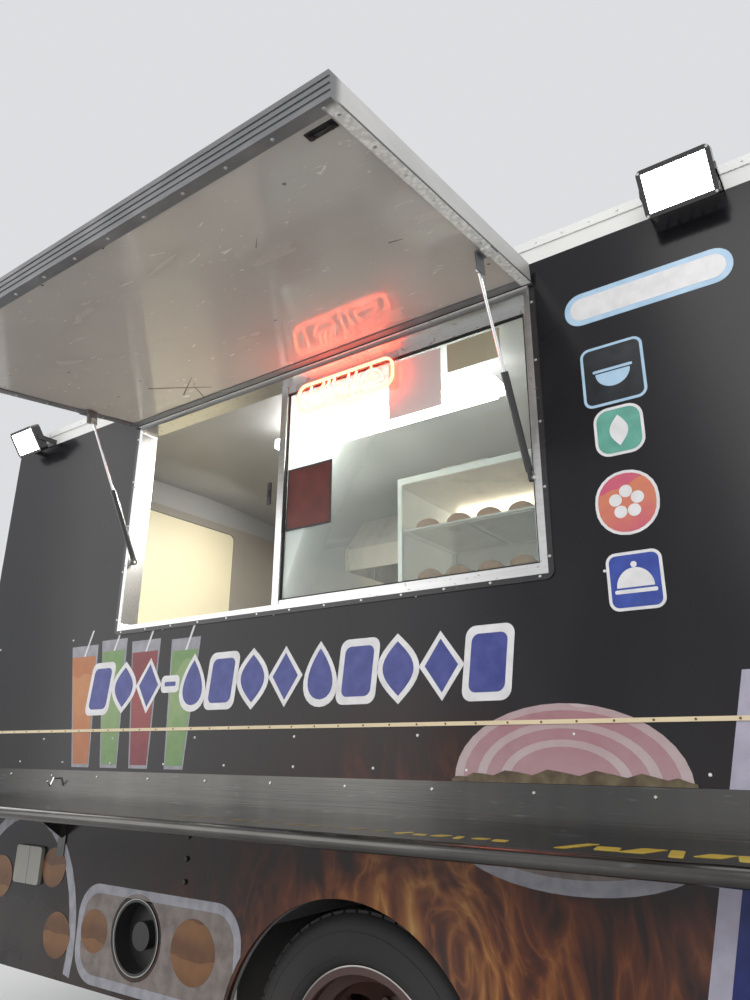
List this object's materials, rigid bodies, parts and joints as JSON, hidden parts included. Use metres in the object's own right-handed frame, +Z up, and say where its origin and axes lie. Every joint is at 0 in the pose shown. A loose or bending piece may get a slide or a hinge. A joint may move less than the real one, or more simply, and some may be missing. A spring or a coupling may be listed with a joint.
{
  "type": "food truck",
  "caption": "Step-van food truck with a lifted awning over its serving window, a steel side shelf, sliding cab doors, a hinged rear door and a fitted kitchen.",
  "frame": {"origin": "middle of the whole truck's box, on the ground", "axes": "+X towards the front of the truck, +Y towards its left (street) side, +Z up; the serving window faces -Y"},
  "size_m": [7.2904, 3.6694, 3.2879],
  "materials": {
    "body_wrap": "satin",
    "roof_paint": "gloss",
    "floor_plate": "matte",
    "clear_glass": "polished",
    "grille_chrome": "polished",
    "lamp_lens": "polished",
    "marker_lens": "polished",
    "flood_lamp_black": "satin",
    "bumper_steel": "gloss",
    "mirror_black": "satin",
    "chassis_black": "matte",
    "engine_iron": "matte",
    "cab_plastic": "matte",
    "seat_vinyl": "satin",
    "tank_steel": "satin",
    "exhaust_steel": "matte",
    "frame_aluminium": "satin",
    "shelf_stainless": "satin",
    "fitting_black": "satin",
    "sign_tube": "gloss",
    "kitchen_stainless": "satin",
    "lamp_white": "gloss",
    "fan_aluminium": "matte",
    "border_aluminium": "satin",
    "awning_white": "gloss",
    "strut_black": "satin",
    "rod_chrome": "polished",
    "door_paint": "satin",
    "wheel_brown": "satin",
    "tyre_rubber": "matte"
  },
  "bodies": {
    "truck": {"kerb_side": "body_wrap", "street_side": "body_wrap", "rear_wall": "body_wrap", "front_panel": "body_wrap", "roof": "roof_paint", "floor": "floor_plate", "fixed_glass": "clear_glass", "grille": "grille_chrome", "headlamps": "lamp_lens", "marker_lamps": "marker_lens", "flood_lamps": "flood_lamp_black", "bumpers": "bumper_steel", "mirrors": "mirror_black", "chassis_frame": "chassis_black", "leaf_springs": "chassis_black", "dampers": "chassis_black", "front_axle": "chassis_black", "rear_axle": "chassis_black", "engine_block": "engine_iron", "engine_cover": "cab_plastic", "dashboard": "cab_plastic", "driver_seat": "seat_vinyl", "fuel_tank": "tank_steel", "exhaust": "exhaust_steel", "serving_frame": "frame_aluminium", "serving_shelf": "shelf_stainless", "side_fittings": "fitting_black", "neon_sign": "sign_tube", "counter": "kitchen_stainless", "kitchen_line": "kitchen_stainless", "display_cabinet": "kitchen_stainless", "ceiling_lamp": "lamp_white", "roof_fan": "fan_aluminium"},
    "awning": {"awning_frame": "border_aluminium", "awning_panel": "awning_white"},
    "aft_strut_tube": {"strut_tube_aft": "strut_black"},
    "fore_strut_tube": {"strut_tube_fore": "strut_black"},
    "aft_strut_rod": {"strut_rod_aft": "rod_chrome"},
    "fore_strut_rod": {"strut_rod_fore": "rod_chrome"},
    "street_cab_door": {"cab_door_street": "door_paint", "cab_door_glass_street": "clear_glass"},
    "kerb_cab_door": {"cab_door_kerb": "door_paint", "cab_door_glass_kerb": "clear_glass"},
    "rear_entry_door": {"rear_door": "door_paint"},
    "left_knuckle": {"knuckle_left": "chassis_black"},
    "right_knuckle": {"knuckle_right": "chassis_black"},
    "front_left_wheel": {"front_wheel_left": "wheel_brown", "front_tyre_left": "tyre_rubber"},
    "front_right_wheel": {"front_wheel_right": "wheel_brown", "front_tyre_right": "tyre_rubber"},
    "rear_left_wheels": {"rear_wheels_left": "wheel_brown", "rear_tyres_left": "tyre_rubber"},
    "rear_right_wheels": {"rear_wheels_right": "wheel_brown", "rear_tyres_right": "tyre_rubber"}
  },
  "joints": [
    {"name": "awning_hinge", "type": "hinge", "parent": "truck", "child": "awning", "pos_m": [-1.57017, -0.83534, 2.61], "axis": [1, 0, 0], "range_deg": [0, 82]},
    {"name": "strut_aft_tilt", "type": "hinge", "parent": "truck", "child": "aft_strut_tube", "pos_m": [-2.45417, -0.81334, 1.99], "axis": [1, 0, 0], "range_deg": [-31.22, 0]},
    {"name": "strut_aft_slide", "type": "slide", "parent": "aft_strut_tube", "child": "aft_strut_rod", "axis": [0, -0.4589, 0.8885], "range_m": [-0.2514, 0]},
    {"name": "strut_fore_tilt", "type": "hinge", "parent": "truck", "child": "fore_strut_tube", "pos_m": [-0.67917, -0.81334, 1.99], "axis": [1, 0, 0], "range_deg": [-31.22, 0]},
    {"name": "strut_fore_slide", "type": "slide", "parent": "fore_strut_tube", "child": "fore_strut_rod", "axis": [0, -0.4589, 0.8885], "range_m": [-0.2514, 0]},
    {"name": "cab_door_street_slide", "type": "slide", "parent": "truck", "child": "street_cab_door", "axis": [-1, 0, 0], "range_m": [0, 0.7]},
    {"name": "cab_door_kerb_slide", "type": "slide", "parent": "truck", "child": "kerb_cab_door", "axis": [-1, 0, 0], "range_m": [0, 0.7]},
    {"name": "rear_door_hinge", "type": "hinge", "parent": "truck", "child": "rear_entry_door", "pos_m": [-3.52247, 0.72666, 1.72], "axis": [0, 0, -1], "range_deg": [0, 110]},
    {"name": "steer_left", "type": "hinge", "parent": "truck", "child": "left_knuckle", "pos_m": [2.67483, 1.20466, 0.405], "axis": [0, 0, 1], "range_deg": [-32, 32]},
    {"name": "steer_right", "type": "hinge", "parent": "truck", "child": "right_knuckle", "pos_m": [2.67483, -0.49534, 0.405], "axis": [0, 0, 1], "range_deg": [-32, 32]},
    {"name": "front_left_spin", "type": "hinge", "parent": "left_knuckle", "child": "front_left_wheel", "pos_m": [2.67483, 1.35466, 0.405], "axis": [0, 1, 0], "continuous": true},
    {"name": "front_right_spin", "type": "hinge", "parent": "right_knuckle", "child": "front_right_wheel", "pos_m": [2.67483, -0.64534, 0.405], "axis": [0, 1, 0], "continuous": true},
    {"name": "rear_left_spin", "type": "hinge", "parent": "truck", "child": "rear_left_wheels", "pos_m": [-1.31517, 1.22166, 0.405], "axis": [0, 1, 0], "continuous": true},
    {"name": "rear_right_spin", "type": "hinge", "parent": "truck", "child": "rear_right_wheels", "pos_m": [-1.31517, -0.51234, 0.405], "axis": [0, 1, 0], "continuous": true}
  ],
  "couplings": [
    {"joint": "strut_aft_tilt", "follows": "awning_hinge", "ratio": -0.37833},
    {"joint": "strut_aft_slide", "follows": "awning_hinge", "m_per_rad": -0.17497},
    {"joint": "strut_fore_tilt", "follows": "awning_hinge", "ratio": -0.37833},
    {"joint": "strut_fore_slide", "follows": "awning_hinge", "m_per_rad": -0.17497},
    {"joint": "steer_right", "follows": "steer_left", "ratio": 1}
  ]
}
